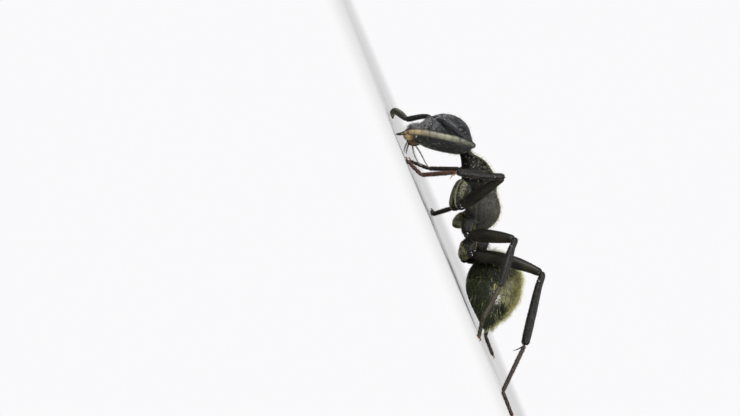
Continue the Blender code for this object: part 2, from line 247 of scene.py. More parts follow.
class Surface:
    """A smooth closed surface over s, from 0 at its front to 1 at its back, and a, the angle round it."""

    def frames(self, s, a):
        """Point, outward normal, backward direction and area of a unit patch, at each (s, a)."""
        e = PATCH_STEP
        s = np.clip(s, e, 1 - e)
        back = (self.point(s + e, a) - self.point(s - e, a)) / (2 * e)
        around = (self.point(s, a + e) - self.point(s, a - e)) / (2 * e)
        area = np.cross(back, around)
        return self.point(s, a), unit(area), unit(back), np.linalg.norm(area, axis=-1)

    def spot(self, s, a):
        """What a coat's density may follow."""
        return SimpleNamespace(s=s, sine=np.sin(a))


class Loft(Surface):
    """A body along an axis, from its outline in side view and its half widths, with surface relief."""

    def __init__(self, outline, front, pitch, squareness=2.3, waist=0.45, relief=None):
        self.table = np.array(outline)
        self.length = self.table[-1, 0]
        self.knots = self.share(self.table[:, 0])
        self.front = np.array(front)
        turn = radians(pitch)
        self.back = np.array((0, cos(turn), sin(turn)))
        self.rise = np.array((0, -sin(turn), cos(turn)))
        self.squareness, self.waist, self.relief = squareness, waist, relief

    def on_axes(self, out, along, up):
        """A point given on the body's own axes, in the ant's frame."""
        return self.front + self.back * along + self.rise * up + np.array((out, 0, 0))

    def share(self, along):
        """The s of a place along the axis."""
        return np.arccos(1 - 2 * np.asarray(along, float) / self.length) / pi

    def local(self, s, a):
        """Out, along and up on the body's own axes, before relief."""
        along = self.length * (1 - np.cos(pi * s)) / 2
        top, bottom, half = (curve(self.knots, self.table[:, c], s) for c in (1, 2, 3))
        mid = bottom + self.waist * (top - bottom)
        ca, sa = np.cos(a), np.sin(a)
        out = half * np.abs(ca) ** (2 / self.squareness) * np.sign(ca)
        reach = np.where(sa > 0, top - mid, mid - bottom)
        return out, along, mid + reach * np.abs(sa) ** (2 / self.squareness) * np.sign(sa)

    def spot(self, s, a):
        out, along, up = self.local(s, a)
        return SimpleNamespace(sine=np.sin(a), out=out, along=along, up=up, point=self.point(s, a))

    def smooth_point(self, s, a):
        """The surface without its relief."""
        out, along, up = self.local(s, a)
        return self.front + along[..., None] * self.back + up[..., None] * self.rise + out[..., None] * OUT

    def point(self, s, a):
        s, a = np.broadcast_arrays(np.asarray(s, float), np.asarray(a, float))
        p = self.smooth_point(s, a)
        if self.relief is None:
            return p
        e = RELIEF_STEP
        inner = np.clip(s, e, 1 - e)
        normal = unit(np.cross(self.smooth_point(inner + e, a) - self.smooth_point(inner - e, a),
                               self.smooth_point(inner, a + e) - self.smooth_point(inner, a - e)))
        out, along, up = self.local(s, a)
        return p + normal * self.relief(out, along, up, np.sin(a))[..., None]


class Limb(Surface):
    """A round or flattened limb along a path, with its radius given at even steps and rounded ends."""

    def __init__(self, path, radii, flatness=1.0, shape=None):
        path = np.array(path, float)
        knots = np.concatenate(([0], np.cumsum(np.linalg.norm(np.diff(path, axis=0), axis=1))))
        fine = np.linspace(0, knots[-1], LIMB_SAMPLES)
        self.line = np.stack([curve(knots, path[:, c], fine) for c in range(3)], -1)
        lengths = np.concatenate(([0], np.cumsum(np.linalg.norm(np.diff(self.line, axis=0), axis=1))))
        self.length = lengths[-1]
        self.at = lengths / self.length
        self.ways = unit(np.gradient(self.line, axis=0))
        side = np.array(Vector(self.ways[0]).cross(Vector((0, 0, 1))).normalized())
        sides = []
        for way in self.ways:  # carried along without a twist
            side = unit(side - way * side.dot(way))
            sides.append(side)
        self.sides = np.array(sides)
        self.radii, self.flatness, self.shape = radii, flatness, shape

    def radius(self, s):
        """The limb's radius, drawn in to nothing at its rounded ends."""
        r = curve(np.linspace(0, 1, len(self.radii)), self.radii, np.clip(s, 0, 1))
        if self.shape is not None:
            r = r * self.shape(s)
        for end in (s, 1 - s):
            cap = np.clip(end * self.length / (CAP_LENGTH * np.maximum(r, 1e-9)), 0, 1)
            r = r * np.sqrt(1 - (1 - cap) ** 2)
        return r

    def read(self, rows, s):
        """Rows kept along the limb's line, read at s."""
        return np.stack([np.interp(s, self.at, rows[:, c]) for c in range(3)], -1)

    def point(self, s, a):
        s, a = np.broadcast_arrays(np.asarray(s, float), np.asarray(a, float))
        side, way = unit(self.read(self.sides, s)), unit(self.read(self.ways, s))
        other = np.cross(side, way)
        r = self.radius(s)[..., None]
        ring = np.cos(a)[..., None] * side * self.flatness + np.sin(a)[..., None] * other
        return self.read(self.line, s) + r * ring


def inside(outline, depth, tip):
    """An outline drawn in on every side by the depth of a coat, and by more at its tip."""
    table = np.array(outline)
    mid = (table[:, 1] + table[:, 2]) / 2
    for c, centre in ((1, mid), (2, mid), (3, 0 * mid)):
        room = table[:, c] - centre
        table[:, c] = centre + np.sign(room) * np.maximum(np.abs(room) - depth, np.abs(room) * THINNEST)
    table[:, 0] *= 1 - tip / table[-1, 0]
    return table


# ---- meshes ----
MATERIALS = {}
SHARP_ANGLE = radians(50)
EDGE_MARGIN = 1e-3  # between a plate and its body's tips


def placed(points):
    """Points in millimetres in the ant's frame, as metres in the row's frame."""
    return (np.asarray(points, float) - FOOTPRINT_CENTRE) * MM


def standing(points):
    """The same points, none of them under the floor."""
    return np.maximum(points, (-np.inf, -np.inf, 0.0))


def add_object(name, data):
    """An object in the scene that holds the data."""
    thing = bpy.data.objects.new(name, data)
    bpy.context.scene.collection.objects.link(thing)
    return thing


def dress(name, mesh, material, replaced=()):
    """An object that rides on the ant's body and takes the place of the nodes named."""
    mesh.materials.append(MATERIALS[material])
    mesh.shade_smooth()
    piece = add_object(name, mesh)
    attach(piece, "root")
    if replaced:
        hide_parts(*replaced)
    return piece


def new_piece(name, shape, material, slot, *replaced):
    """A smooth piece with sharp creases, from the points and faces of its shape."""
    points, faces = shape
    mesh = bpy.data.meshes.new(name)
    mesh.from_pydata([tuple(p) for p in placed(standing(points))], [], [tuple(f) for f in faces])
    mesh.validate()
    piece = dress(name, mesh, material, replaced)
    mesh.set_sharp_from_angle(angle=SHARP_ANGLE)
    return piece


def skin(surface, s, sides):
    """Points and faces of a closed surface over rings at s, fanned shut at both ends."""
    a = np.linspace(0, 2 * pi, sides, endpoint=False)
    return close_rings(surface.point(np.asarray(s, float)[:, None], a[None, :]))


def close_rings(rings):
    """Points and faces of a tube of rings with fanned ends."""
    rows, cols = rings.shape[:2]
    i = np.arange(rows - 1)[:, None] * cols
    j = np.arange(cols)[None, :]
    k = (j + 1) % cols
    quads = np.stack((i + j, i + cols + j, i + cols + k, i + k), -1).reshape(-1, 4)
    points = np.concatenate((rings.reshape(-1, 3), rings[0].mean(0)[None], rings[-1].mean(0)[None]))
    first, last = rows * cols, rows * cols + 1
    edge = (rows - 1) * cols
    fans = [(first, c, (c + 1) % cols) for c in range(cols)]
    fans += [(last, edge + (c + 1) % cols, edge + c) for c in range(cols)]
    return points, [tuple(int(v) for v in f) for f in list(quads) + fans]


def joined(shapes):
    """Several shapes as one."""
    points, faces, start = [], [], 0
    for p, f in shapes:
        points.append(p)
        faces += [tuple(v + start for v in face) for face in f]
        start += len(p)
    return np.concatenate(points), faces


def limb_rings(count):
    """Places along a limb, closer together at its rounded ends."""
    u = np.linspace(0, 1, count)
    return 0.5 * u + 0.25 * (1 - np.cos(pi * u))


def limb(path, radii, rings, sides):
    """Points and faces of a small limb."""
    return skin(Limb(path, radii), limb_rings(rings), sides)


def plate(surface, front, back, rings, sides, lift_front=0.0, lift_back=0.0, rim=0.05):
    """A shell plate between two edges that may slant with the angle, its rims turned in."""
    a = np.linspace(0, 2 * pi, sides, endpoint=False)
    inner = (EDGE_MARGIN, surface.length - EDGE_MARGIN)
    f, b = (surface.share(np.clip(edge(np.sin(a)), *inner)) for edge in (front, back))
    v = np.linspace(0, 1, rings)[:, None]
    s = f + (b - f) * v
    points, normals = surface.frames(s, a[None, :] + 0 * s)[:2]
    lift = lift_front + (lift_back - lift_front) * v**0.5
    points = points + normals * lift[..., None]
    inner_front = points[0] - normals[0] * rim
    inner_back = points[-1] - normals[-1] * rim
    return close_rings(np.concatenate((inner_front[None], points, inner_back[None])))


def slanted(at, lean=0.0, low=-0.5, high=0.9):
    """A plate's edge at a place along the body, moved by the lean towards the lower side."""
    return lambda sine: at + lean * step_up(-sine, low, high)


# ---- hair ----
UV_PATCH = 0.003
UV_MARGIN = 0.02
HAIR_SIDES = 3
TUFT_PULL = 0.85
ROOT_DEPTH = 0.015
WAIST = 0.8  # of a hair's width, halfway along it
TIP_LIFT = 0.35  # of the lift at its root
LENGTH_SPREAD = (0.7, 1.2)
LIFT_SPREAD = (0.6, 1.5)
SWAY_SIZE = 0.35  # of the waves in which neighbours lie
TRIES = 8  # places tried for each hair
ENDS = (0.004, 0.996)  # of the stretch that carries hair


def sown(surface, count, seed, where=None):
    """Random places on a surface, even by area and thinned by a density."""
    rng = np.random.default_rng(seed)
    s, a = rng.uniform(*ENDS, count * TRIES), rng.uniform(0, 2 * pi, count * TRIES)
    points, normals, backs, area = surface.frames(s, a)
    weight = area * (where(surface.spot(s, a)) if where else 1.0)
    keep = rng.choice(len(s), size=count, replace=False, p=weight / weight.sum())
    return s[keep], a[keep], points[keep], normals[keep], backs[keep]


def nearest_finder(points):
    """A tree that finds the nearest of the points."""
    tree = KDTree(len(points))
    for i, point in enumerate(points):
        tree.insert(point, i)
    tree.balance()
    return tree


def gathered(roots, lie, lengths, tufts, rng):
    """Ways of hairs turned so that the tips of neighbours draw together into tufts."""
    leaders = rng.choice(len(roots), size=tufts, replace=False)
    tree = nearest_finder(roots[leaders])
    nearest = leaders[[tree.find(p)[1] for p in roots]]
    goals = roots[nearest] + lie[nearest] * lengths[nearest][:, None]
    return unit(lie * (1 - TUFT_PULL) + unit(goals - roots) * TUFT_PULL)


def hairs(surface, count, length, width, lift, seed, where=None, spread=0.18, turn=0.0, cell=(0, 0, 1, 1),
          sway=0.25, tufts=0):
    """Hairs on one surface: for each its root, normal, lie, length, width, lift and place on the unwrap."""
    rng = np.random.default_rng(seed + 1)
    s, a, roots, normals, backs = sown(surface, count, seed, where)
    across = np.cross(normals, backs)
    swing = rng.normal(0, spread, count) + sway * ripple(roots, SWAY_SIZE, seed) + turn
    lie = backs * np.cos(swing)[:, None] + across * np.sin(swing)[:, None]
    lengths = length * rng.uniform(*LENGTH_SPREAD, count)
    if tufts:
        lie = gathered(roots, lie, lengths, count // tufts, rng)
        lie = unit(lie - normals * np.sum(lie * normals, -1, keepdims=True))
    lifts = radians(lift) * rng.uniform(*LIFT_SPREAD, count)
    x, y, w, h = cell
    inner = 1 - 2 * UV_MARGIN
    uv = np.stack((x + w * (UV_MARGIN + inner * a / (2 * pi)), y + h * (UV_MARGIN + inner * s)), -1)
    return roots, normals, lie, lengths, np.full(count, width), lifts, uv


def hair_faces():
    """The triangles of one hair: its sides, its tip and its root."""
    faces = []
    for k in range(HAIR_SIDES):
        n = (k + 1) % HAIR_SIDES
        over_k, over_n = HAIR_SIDES + k, HAIR_SIDES + n
        faces += [(k, n, over_n), (k, over_n, over_k), (over_k, over_n, 2 * HAIR_SIDES)]
    return np.array((*faces, (2, 1, 0)))


def hair_points(roots, normals, lie, lengths, widths, lifts):
    """Every hair's points: a ring at its root, a ring halfway and its tip, bent over towards the body."""
    side = unit(np.cross(normals, lie))

    def heading(angle):
        return lie * np.cos(angle)[:, None] + normals * np.sin(angle)[:, None]

    first, second = heading(lifts), heading(lifts * TIP_LIFT)
    other = np.cross(first, side)
    base = roots - first * ROOT_DEPTH
    half = (lengths * 0.5)[:, None]
    middle = roots + first * half
    points = np.empty((len(roots), 2 * HAIR_SIDES + 1, 3))
    for k in range(HAIR_SIDES):
        turn = 2 * pi * k / HAIR_SIDES
        off = (side * cos(turn) + other * sin(turn)) * (widths / 2)[:, None]
        points[:, k] = base + off
        points[:, HAIR_SIDES + k] = middle + off * WAIST
    points[:, 2 * HAIR_SIDES] = middle + second * half
    return points


def coat(name, material, slot, *batches):
    """One joined mesh of thin three-sided hairs, with a place for each hair on its unwrap."""
    *shape, uv = (np.concatenate(rows) for rows in zip(*batches))
    points, faces = hair_points(*shape), hair_faces()
    corners = (np.arange(len(uv))[:, None, None] * points.shape[1] + faces).reshape(-1)
    spots = np.array([(-0.5, -0.5), (0.5, -0.5), (0, -0.5), (-0.5, 0), (0.5, 0), (0, 0), (0, 0.5)]) * UV_PATCH
    map_uv = (uv[:, None, :] + spots[None])[:, faces.reshape(-1)].reshape(-1, 2)
    mesh = bpy.data.meshes.new(name)
    mesh.vertices.add(points.size // 3)
    mesh.vertices.foreach_set("co", placed(standing(points.reshape(-1, 3))).astype(np.float32).ravel())
    mesh.loops.add(len(corners))
    mesh.loops.foreach_set("vertex_index", corners.astype(np.int32))
    mesh.polygons.add(len(corners) // 3)
    mesh.polygons.foreach_set("loop_start", np.arange(0, len(corners), 3, dtype=np.int32))
    layer = mesh.uv_layers.new(name="OFBake")
    layer.data.foreach_set("uv", map_uv.astype(np.float32).ravel())
    mesh.update(calc_edges=True)
    return dress(name, mesh, material)


# ---- materials ----
# colour of painted glints: pale dots mixed into a shell's colour
GLINT_SPECK_COLOUR = (0.74, 0.73, 0.52)
BLACK = (0.012, 0.010, 0.009)
# painted shade: each lash is pale only along two sides and turns to a dark edge colour away from them
LASH_EDGE_SHADE = (0.022, 0.021, 0.016)
LASH_LIT_WAY = {"left": (1, 0, 0), "right": (0, -0.6, 0.8)}  # the sides along which a lash is pale
JAW_STOPS = (
    (0.30, (0.62, 0.45, 0.19)),
    (0.42, (0.40, 0.27, 0.11)),
    (0.50, (0.13, 0.085, 0.042)),
    (0.68, (0.020, 0.015, 0.011)),
)
LASH_STOPS = (
    (0.125, (0.040, 0.040, 0.029)),
    (0.22, (0.20, 0.195, 0.14)),
    (0.33, (0.285, 0.28, 0.20)),
    (0.45, (0.22, 0.21, 0.155)),
    (0.60, (0.215, 0.185, 0.13)),
    (0.73, (0.48, 0.375, 0.21)),
    (0.80, (0.40, 0.29, 0.14)),
    (0.86, (0.035, 0.030, 0.026)),
)
COARSE = dict(relief=0.004, waviness=0.018)
DULL = dict(COARSE, shine=0.12)
SOLE = dict(cell=0.02, relief=0.0015, patch=0.25)
SHELLS = {  # dark colour, light colour, roughness and what else differs from the usual shell
    "black_shell": ((0.004, 0.004, 0.0045), (0.014, 0.014, 0.015), 0.46, COARSE),
    # the head shell's faint blue tint is a painted blue-grey sheen
    "head_shell": ((0.0045, 0.005, 0.0065), (0.017, 0.019, 0.025), 0.38,
                   dict(cell=0.045, relief=0.007, waviness=0.012, shine=0.60)),
    # the scape shell's faint blue tint is a painted blue-grey sheen
    "scape_shell": ((0.007, 0.008, 0.011), (0.018, 0.020, 0.026), 0.50, dict(waviness=0.004, shine=0.30)),
    # collar and pronotum shells: darker copies of the black shell, a painted shade; the pronotum's also has
    # painted glints
    "shaded_collar_shell": ((0.003, 0.003, 0.003), (0.007, 0.007, 0.007), 0.50, DULL),
    "pronotum_shell": ((0.003, 0.003, 0.003), (0.007, 0.007, 0.007), 0.50, dict(DULL, glint_specks=0.105)),
    # the fore coxa's shell also carries painted glints as pale dots
    "fore_coxa_shell": ((0.004, 0.004, 0.004), (0.012, 0.012, 0.010), 0.46, dict(glint_specks=0.075)),
    "velvet_shell": ((0.010, 0.010, 0.0082), (0.032, 0.032, 0.026), 0.56,
                     dict(relief=0.004, patch=0.7, waviness=0.012)),
    # the gaster shell's green tint is a painted green reflection
    "gaster_shell": ((0.0025, 0.004, 0.001), (0.006, 0.008, 0.003), 0.25,
                     dict(relief=0.0025, waviness=0.0045, shine=0.90)),
    "leg_shell": ((0.004, 0.0037, 0.0036), (0.009, 0.008, 0.0072), 0.43,
                  dict(cell=0.024, relief=0.0025, waviness=0.006, shine=0.25)),
    "thigh_shell": ((0.004, 0.0036, 0.003), (0.022, 0.017, 0.008), 0.43,
                    dict(cell=0.024, relief=0.0025, patch=0.6, waviness=0.006, shine=0.30)),
    "joint_shell": ((0.004, 0.004, 0.0045), (0.010, 0.009, 0.008), 0.20,
                    dict(relief=0.0003, waviness=0.0004, shine=1.0)),
    "mouth_shell": ((0.060, 0.034, 0.018), (0.16, 0.10, 0.05), 0.42, dict(patch=0.20)),
    "foot_shell": ((0.028, 0.013, 0.009), (0.075, 0.032, 0.020), 0.40, SOLE),
    "dark_foot_shell": ((0.011, 0.0075, 0.006), (0.036, 0.021, 0.015), 0.42, SOLE),
    "olive_foot_shell": ((0.013, 0.011, 0.005), (0.048, 0.039, 0.019), 0.42, SOLE),
    "spur_shell": ((0.22, 0.10, 0.035), (0.42, 0.22, 0.08), 0.35, dict(cell=0.02, relief=0.001)),
    "claw_shell": ((0.06, 0.024, 0.012), (0.16, 0.07, 0.03), 0.28, dict(cell=0.02, relief=0.0008)),
    "eye_shell": ((0.006, 0.006, 0.007), (0.012, 0.012, 0.013), 0.28, dict(relief=0.0004)),
    "palp_shell": ((0.17, 0.17, 0.155), (0.34, 0.34, 0.315), 0.48, dict(cell=0.02, relief=0.001)),
}
HAIRS = {  # dark colour, light colour, roughness, size of a patch and shine
    "golden_hair": ((0.04, 0.04, 0.005), (1.0, 0.95, 0.36), 0.30, 0.07, 0.40),
    "pale_golden_hair": ((0.16, 0.15, 0.045), (1.0, 0.97, 0.58), 0.26, 0.06, 0.50),
    "glittering_hair": ((0.26, 0.24, 0.12), (1.0, 0.97, 0.66), 0.24, 0.04, 0.50),
    # olive hair: its darkness and green tint are partly painted shade and painted green reflected light on
    # the lower sides
    "olive_hair_painted_shade": ((0.006, 0.009, 0.001), (0.080, 0.104, 0.022), 0.45, 0.06, 0.25),
    "sooty_down": ((0.007, 0.0065, 0.006), (0.038, 0.036, 0.032), 0.45, 0.06, 0.50),
    "lash_down": ((0.05, 0.045, 0.032), (0.30, 0.27, 0.20), 0.45, 0.16, 0.50),
    "silver_hair": ((0.20, 0.20, 0.20), (1.0, 1.0, 0.98), 0.26, 0.05, 0.50),
    "dark_down": ((0.034, 0.033, 0.026), (0.22, 0.215, 0.165), 0.45, 0.08, 0.50),
    "dark_bristle": ((0.035, 0.025, 0.018), (0.15, 0.11, 0.075), 0.45, 0.16, 0.50),
    "red_bristle": ((0.070, 0.032, 0.018), (0.22, 0.11, 0.055), 0.45, 0.16, 0.50),
}


class Nodes:
    """A short way to add and join a material's nodes."""

    def __init__(self, name):
        self.material = bpy.data.materials.new(name)
        self.material.use_nodes = True
        self.tree = self.material.node_tree
        self.shader = self.tree.nodes["Principled BSDF"]

    def add(self, kind, values=None, **settings):
        """A node with its settings and the values of its inputs."""
        node = self.tree.nodes.new("ShaderNode" + kind)
        for key, value in settings.items():
            setattr(node, key, value)
        for key, value in (values or {}).items():
            node.inputs[key].default_value = value
        return node

    def join(self, source, target):
        self.tree.links.new(source, target)

    def surface(self, colour, roughness, normal, shine=0.5):
        """The shader's colour, roughness, relief and shine, each a number or a node's output."""
        rows = {"Base Color": colour, "Roughness": roughness, "Normal": normal, "Specular IOR Level": shine}
        for key, value in rows.items():
            if isinstance(value, float):
                self.shader.inputs[key].default_value = value
            elif value is not None:
                self.join(value, self.shader.inputs[key])

    def where(self):
        return self.add("TexCoord").outputs["Object"]

    def noise(self, size_mm, detail=3.0):
        """Soft blotches of about the given size."""
        node = self.add("TexNoise", {"Scale": 1 / (size_mm * MM), "Detail": detail, "Roughness": 0.55})
        self.join(self.where(), node.inputs["Vector"])
        return node.outputs["Fac"]

    def cells(self, size_mm, feature="DISTANCE_TO_EDGE"):
        """A net of cells of about the given size."""
        node = self.add("TexVoronoi", {"Scale": 1 / (size_mm * MM)}, feature=feature)
        self.join(self.where(), node.inputs["Vector"])
        return node.outputs["Distance"]

    def ramp(self, source, stops):
        """A colour that follows a value from stop to stop."""
        node = self.add("ValToRGB")
        elements = node.color_ramp.elements
        while len(elements) < len(stops):
            elements.new(0.5)
        for element, (at, colour) in zip(elements, stops):
            element.position = at
            element.color = (*colour, 1.0)
        self.join(source, node.inputs["Fac"])
        return node.outputs["Color"]

    def spread(self, source, old=(0, 1), new=(0, 1), shape="LINEAR"):
        """A value moved from its old range to a new one."""
        ends = {"From Min": old[0], "From Max": old[1], "To Min": new[0], "To Max": new[1]}
        node = self.add("MapRange", ends, interpolation_type=shape)
        self.join(source, node.inputs["Value"])
        return node.outputs["Result"]

    def along(self, vector, axis):
        """How far a vector goes along an axis."""
        node = self.add("VectorMath", operation="DOT_PRODUCT")
        self.join(vector, node.inputs[0])
        node.inputs[1].default_value = axis
        return node.outputs["Value"]

    def slope(self, axis, start, end):
        """A value that rises from 0 to 1 between two points along an axis, the points in millimetres."""
        ends = [float(np.dot(placed(p), axis)) for p in (start, end)]
        return self.spread(self.along(self.where(), axis), ends, shape="SMOOTHSTEP")

    def mottled(self, source, amount, size_mm, detail=3.0):
        """A value with blotches mixed into it."""
        node = self.add("Mix", {"Factor": amount}, data_type="FLOAT")
        self.join(source, node.inputs[2])
        self.join(self.noise(size_mm, detail), node.inputs[3])
        return node.outputs[0]

    def mixed(self, share, *colours):
        """A colour between two, each of them plain or a node's output."""
        node = self.add("Mix", data_type="RGBA")
        self.join(share, node.inputs[0])
        for colour, target in zip(colours, node.inputs[6:8]):
            if isinstance(colour, tuple):
                target.default_value = (*colour, 1)
            else:
                self.join(colour, target)
        return node.outputs[2]

    def bump(self, height, distance_mm, under=None):
        """A relief of the given height, over another where one is given."""
        node = self.add("Bump", {"Strength": 1.0, "Distance": distance_mm * MM})
        self.join(height, node.inputs["Height"])
        if under is not None:
            self.join(under, node.inputs["Normal"])
        return node.outputs["Normal"]


def shell_material(name, dark, light, roughness, cell=0.030, relief=0.0030, patch=0.45, waviness=0.008,
                   shine=0.32, glint_specks=0.0):
    """Ant shell: a net of cells over faint waves, a soft shine, slow changes of colour and, where asked,
    painted glints as pale dots.
    """
    n = Nodes(name)
    colour = n.ramp(n.noise(patch), ((0.35, dark), (0.70, light)))
    if glint_specks:
        # painted highlights: pale dots standing for glints at the hair pits
        pits = n.spread(n.cells(glint_specks, "F1"), (0.06, 0.19), (1, 0))
        colour = n.mixed(pits, colour, GLINT_SPECK_COLOUR)
    gloss = n.spread(n.noise(0.12), new=(roughness - 0.09, roughness + 0.11))
    waves = n.bump(n.noise(0.07, 4.0), waviness)
    n.surface(colour, gloss, n.bump(n.cells(cell), relief, under=waves), shine)
    return n.material


def hair_material(name, dark, light, roughness, patch, shine):
    """Hair: small changes of colour from tuft to tuft."""
    n = Nodes(name)
    colour = n.ramp(n.noise(patch, 5.0), ((0.30, dark), (0.68, light)))
    n.surface(colour, n.spread(n.noise(0.05), new=(roughness - 0.1, roughness + 0.1)), None, shine)
    n.shader.inputs["Sheen Weight"].default_value = 0.15
    n.shader.inputs["Sheen Roughness"].default_value = 0.4
    return n.material


def make_jaw_material(head):
    """Jaws that go from orange brown at their lower edge to near black above, with fine grooves."""
    n = Nodes("jaw_shell")
    height = n.slope(tuple(head.rise), head.on_axes(0, 0.2, -0.30), head.on_axes(0, 0.2, 0.14))
    brown = n.ramp(n.mottled(height, 0.50, 0.07, 4.0), JAW_STOPS)
    base = n.slope(tuple(head.back), head.on_axes(0, 0.10, 0), head.on_axes(0, 0.42, 0))
    waves = n.bump(n.noise(0.05, 4.0), 0.007)
    n.surface(n.mixed(base, brown, BLACK), 0.33, n.bump(n.cells(0.03), 0.002, under=waves))
    MATERIALS["jaw_shell"] = n.material


def make_lash_material(side):
    """The feeler's lash, greyish at the elbow and amber towards its tip, with painted shade darkening it away
    from two pale sides.
    """
    n = Nodes(f"lash_{side}_shell")
    elbow, tip = (np.array(FEELERS[side][part][-1]) for part in ("scape", "lash"))
    length = n.slope(tuple(unit(tip - elbow)), elbow, tip)
    pale = n.ramp(n.mottled(length, 0.25, 0.10), LASH_STOPS)
    # painted shade: the colour darkens as the surface turns away from the pale sides
    either = n.add("Math", operation="ABSOLUTE")
    n.join(n.along(n.add("TexCoord").outputs["Normal"], LASH_LIT_WAY[side]), either.inputs[0])
    share = n.spread(either.outputs[0], (0.15, 0.98), shape="SMOOTHSTEP")
    n.surface(n.mixed(share, LASH_EDGE_SHADE, pale), 0.48, n.bump(n.cells(0.02), 0.0015))
    MATERIALS[f"lash_{side}_shell"] = n.material


def make_materials():
    """Every shell and hair, except the jaws and the lashes."""
    for name, (*row, extra) in SHELLS.items():
        MATERIALS[name] = shell_material(name, *row, **extra)
    for name, row in HAIRS.items():
        MATERIALS[name] = hair_material(name, *row)


# ---- the head ----
EYE_RIM = (0.30, 0.24)
FACET_REACH = 0.040
FACET_HEIGHT = 0.016
JAW_PATH = (  # out, along, up, on the head
    (0.57, 0.62, -0.08),
    (0.57, 0.38, -0.07),
    (0.47, 0.17, -0.10),
    (0.29, 0.05, -0.16),
    (0.09, 0.02, -0.22),
)
JAW_RADII = (0.17, 0.235, 0.245, 0.20, 0.085)
JAW_TEETH = (  # out, along, thickness
    (0.13, 0.08, 0.052),
    (0.18, 0.14, 0.047),
    (0.23, 0.19, 0.043),
    (0.28, 0.24, 0.039),
    (0.32, 0.29, 0.034),
)
LIP_PARTS = (  # out, back end, front end, up, thickness
    (0.0, 0.62, 0.12, -0.37, 0.12),
    (0.19, 0.66, 0.16, -0.36, 0.10),
    (-0.19, 0.66, 0.16, -0.36, 0.10),
)
PALP_ROUTES = (
    ((0.18, -0.60, 0.50), (0.34, -0.36, 0.46), (0.50, -0.10, 0.42), (0.62, 0.22, 0.44), (0.66, 0.42, 0.52)),
    ((-0.18, -0.56, 0.54), (-0.36, -0.28, 0.62), (-0.52, 0.02, 0.66), (-0.64, 0.34, 0.68),
     (-0.68, 0.54, 0.72)),
    ((0.07, -0.70, 0.40), (0.12, -0.60, 0.26), (0.20, -0.46, 0.14), (0.27, -0.34, 0.07)),
    ((-0.07, -0.68, 0.42), (-0.14, -0.54, 0.32), (-0.22, -0.40, 0.20), (-0.30, -0.26, 0.11)),
)
PALP_RADII = (0.032, 0.038, 0.035, 0.029, 0.018)
SCAPE_RADII = (0.085, 0.060, 0.085, 0.10, 0.105, 0.11, 0.115, 0.105)
LASH_RADII = (0.100, 0.140, 0.145, 0.145, 0.145, 0.130, 0.085, 0.034)
LASH_BEADS = 11


def eye_reach(along, up):
    """The square of the distance from an eye's centre, 1 at its rim."""
    return ((along - EYE_PLACE[1]) / EYE_RIM[0]) ** 2 + ((up - EYE_PLACE[2]) / EYE_RIM[1]) ** 2


def head_relief(out, along, up, sine):
    """Clypeus, ridges and furrow of the face, the feelers' pits, eye rims, nape and gular groove."""
    x = np.abs(out)
    face = step_up(sine, 0.05, 0.30)
    under = step_up(-sine, 0.05, 0.30)
    clypeus = step_up(along, 0.02, 0.10) * step_up(-along, -0.62, -0.54) * step_up(-x, -0.46, -0.36)
    d = 0.035 * face * clypeus
    d = d + 0.018 * face * hump(out, 0, 0.035) * clypeus
    ridge = 0.20 + 0.26 * np.clip((along - 0.66) / 0.85, 0, 1) ** 0.8
    d = d + 0.045 * face * hump(x, ridge, 0.040) * step_up(along, 0.62, 0.76) * step_up(-along, -1.62, -1.25)
    d = d - 0.060 * face * hump(x, 0.44, 0.11) * hump(along, 1.02, 0.15)
    d = d - 0.014 * face * hump(out, 0, 0.020) * step_up(along, 0.72, 0.85) * step_up(-along, -1.75, -1.5)
    d = d - 0.018 * hump(np.sqrt(eye_reach(along, up)), 1.0, 0.12) * step_up(x, 0.6, 0.8)
    d = d - 0.11 * hump(out, 0, 0.42) * step_up(along, 2.35, 2.75)
    d = d - 0.025 * under * hump(out, 0, 0.03) * step_up(along, 0.8, 1.0)
    return d - 0.10 * under * hump(out, 0, 0.26) * hump(along, 0.42, 0.28)


def ball_of(subdivisions):
    """Points and faces of a ball of radius 1."""
    bm = bmesh.new()
    bmesh.ops.create_icosphere(bm, subdivisions=subdivisions, radius=1.0)
    shape = [v.co.copy() for v in bm.verts], [tuple(v.index for v in f.verts) for f in bm.faces]
    bm.free()
    return shape


def make_eye(side, sign, head):
    """A compound eye: an ellipsoid covered with small domed facets."""
    facets = nearest_finder(ball_of(4)[0])
    points, faces = ball_of(6)
    domes = []
    for p in points:
        d = min(facets.find(p)[2] / FACET_REACH, 1.0)
        domes.append(p * (1 + FACET_HEIGHT * (1 - d * d)))
    centre = head.on_axes(sign * EYE_PLACE[0], *EYE_PLACE[1:])
    axes = zip(np.array(domes).T, EYE_RADII, (OUT, head.back, head.rise))
    points = sum((share[:, None] * radius * way for share, radius, way in axes), centre)
    new_piece(f"eye_{side}_facets", (points, faces), "eye_shell", "eye", f"eye_{side}")


def make_mandible(side, sign, head):
    """A jaw: a curved blade with teeth along its inner edge."""
    blade = Limb([head.on_axes(sign * out, *place) for out, *place in JAW_PATH], JAW_RADII, flatness=0.55)
    shapes = [skin(blade, limb_rings(36), 28)]
    for out, along, size in JAW_TEETH:
        root = head.on_axes(sign * (out + 0.05), along - 0.01, -0.27)
        tip = head.on_axes(sign * (out - 0.09), along + 0.055, -0.31)
        shapes.append(limb((root, (root + tip) / 2, tip), (size, size * 0.75, size * 0.2), 9, 10))
    node = f"mandible_{side}"
    new_piece(node + "_jaw", joined(shapes), "jaw_shell", "mandible", node)
    coat(node + "_hair", "red_bristle", "mandible", hairs(blade, 260, 0.09, 0.006, 28, 15))


def segmented(count, dip=0.30, flare=0.22):
    """A radius factor that makes beads along a limb, each a little wider at its far end."""
    edges = np.linspace(0, 1, count + 1)

    def factor(s):
        i = np.clip(np.searchsorted(edges, s, "right") - 1, 0, count - 1)
        u = (s - edges[i]) / (edges[i + 1] - edges[i])
        groove = hump(np.minimum(u, 1 - u), 0, 0.07)
        between = ((u > 0.5) | (i > 0)) * ((u < 0.5) | (i < count - 1))
        return (1 - flare + flare * np.sqrt(np.clip(u, 0, 1))) * (1 - dip * groove * between)

    return factor


